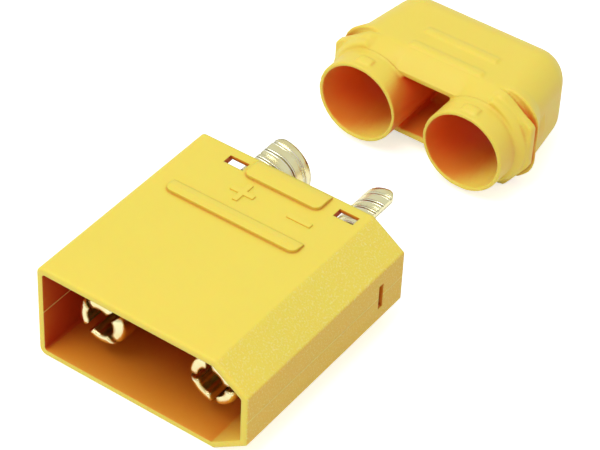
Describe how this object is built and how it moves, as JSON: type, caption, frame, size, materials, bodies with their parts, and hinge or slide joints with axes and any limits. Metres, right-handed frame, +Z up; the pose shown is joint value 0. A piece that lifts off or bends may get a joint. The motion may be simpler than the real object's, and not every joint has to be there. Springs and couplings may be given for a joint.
{
  "type": "battery connector",
  "caption": "Keyed battery connector housing with hollow pins and half-open solder cups, and an end cap that slides on over the cups from behind.",
  "frame": {"origin": "under the middle of the whole length, on the surface that the connector lies on", "axes": "+Y from the mating end to the cable end, +Z up out of the broad top face, +X across the width towards the bevelled side"},
  "size_m": [0.0206, 0.0502, 0.0096],
  "materials": {
    "housing_nylon": "moulded nylon, satin top and fine spark-eroded grain on the bevels",
    "cap_nylon": "moulded nylon, satin",
    "gold_plate": "turned brass, gold plated, bright"
  },
  "bodies": {
    "housing": {"housing": "housing_nylon", "contact_positive": "gold_plate", "contact_negative": "gold_plate"},
    "cap": {"cap": "cap_nylon"}
  },
  "joints": [
    {"name": "cap_slide", "type": "slide", "parent": "housing", "child": "cap", "axis": [0, -1, 0], "range_m": [0, 0.01855]}
  ]
}
